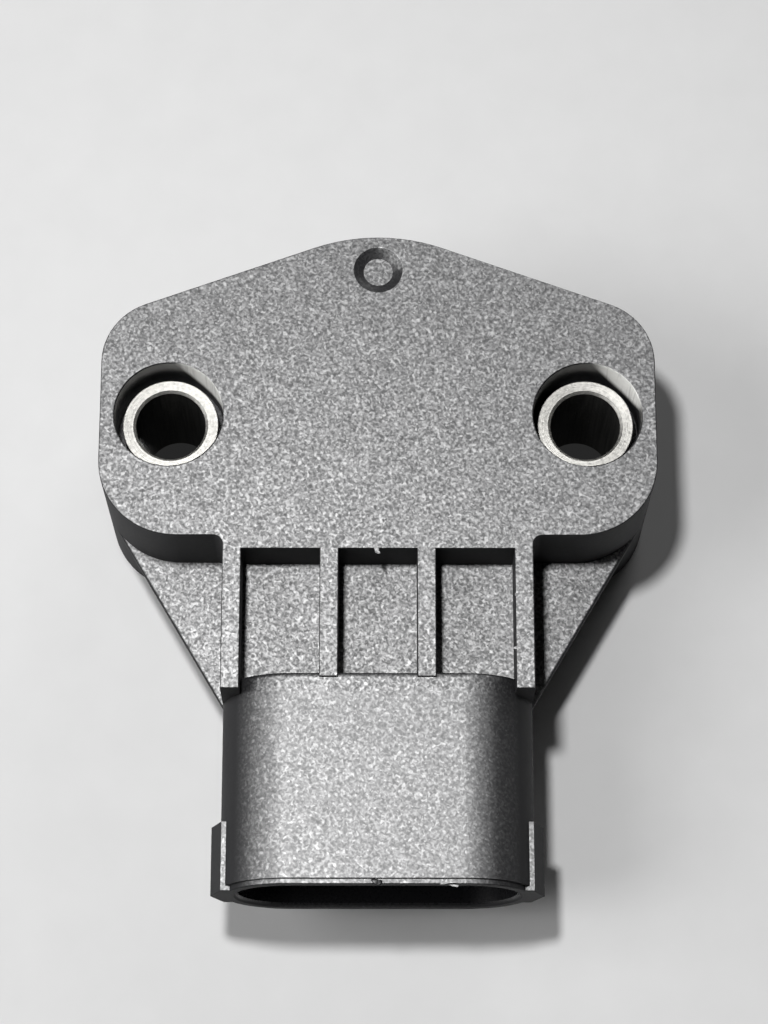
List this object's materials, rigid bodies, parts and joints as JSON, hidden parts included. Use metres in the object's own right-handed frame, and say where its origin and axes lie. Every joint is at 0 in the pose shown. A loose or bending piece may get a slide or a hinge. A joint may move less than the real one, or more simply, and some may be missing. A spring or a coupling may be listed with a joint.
{
  "type": "throttle position sensor",
  "caption": "Rotary throttle position sensor: shield-shaped black housing with bushed mounting ears, a ribbed neck and an obround plug socket, and a sprung rotor driven from the back.",
  "frame": {"origin": "midway between the two mounting holes, on the mounting face and on the rotor's axis", "axes": "+Z out of the front face along the rotor's axis, +Y to the rounded apex, the plug socket opens towards -Y"},
  "size_m": [0.0426, 0.0509, 0.0145],
  "materials": {
    "housing_plastic": "black glass-filled nylon with a fine spark-eroded grain",
    "bushing_metal": "bright turned steel",
    "terminal_tin": "tin-plated brass strip",
    "card_ceramic": "matt alumina",
    "carbon_ink": "printed carbon",
    "silver_ink": "printed silver",
    "cover_plastic": "smooth black moulding",
    "seal_rubber": "matt black rubber",
    "spring_wire": "drawn wire",
    "rotor_plastic": "smooth dark grey moulding",
    "wiper_metal": "sprung sheet metal"
  },
  "bodies": {
    "sensor_body": {"housing": "housing_plastic", "bushing_left": "bushing_metal", "bushing_right": "bushing_metal", "terminal_ground": "terminal_tin", "terminal_signal": "terminal_tin", "terminal_supply": "terminal_tin", "track_card": "card_ceramic", "resistor_track": "carbon_ink", "collector_track": "silver_ink", "end_traces": "silver_ink", "rear_cover": "cover_plastic", "flange_seal": "seal_rubber", "return_spring": "spring_wire"},
    "rotor_body": {"rotor": "rotor_plastic", "wiper": "wiper_metal"}
  },
  "joints": [
    {"name": "rotor_turn", "type": "hinge", "parent": "sensor_body", "child": "rotor_body", "pos_m": [0, 0, 0], "axis": [0, 0, 1], "range_deg": [0, 95], "stiffness_Nm_per_rad": 0.003, "deforming": ["return_spring"]}
  ]
}
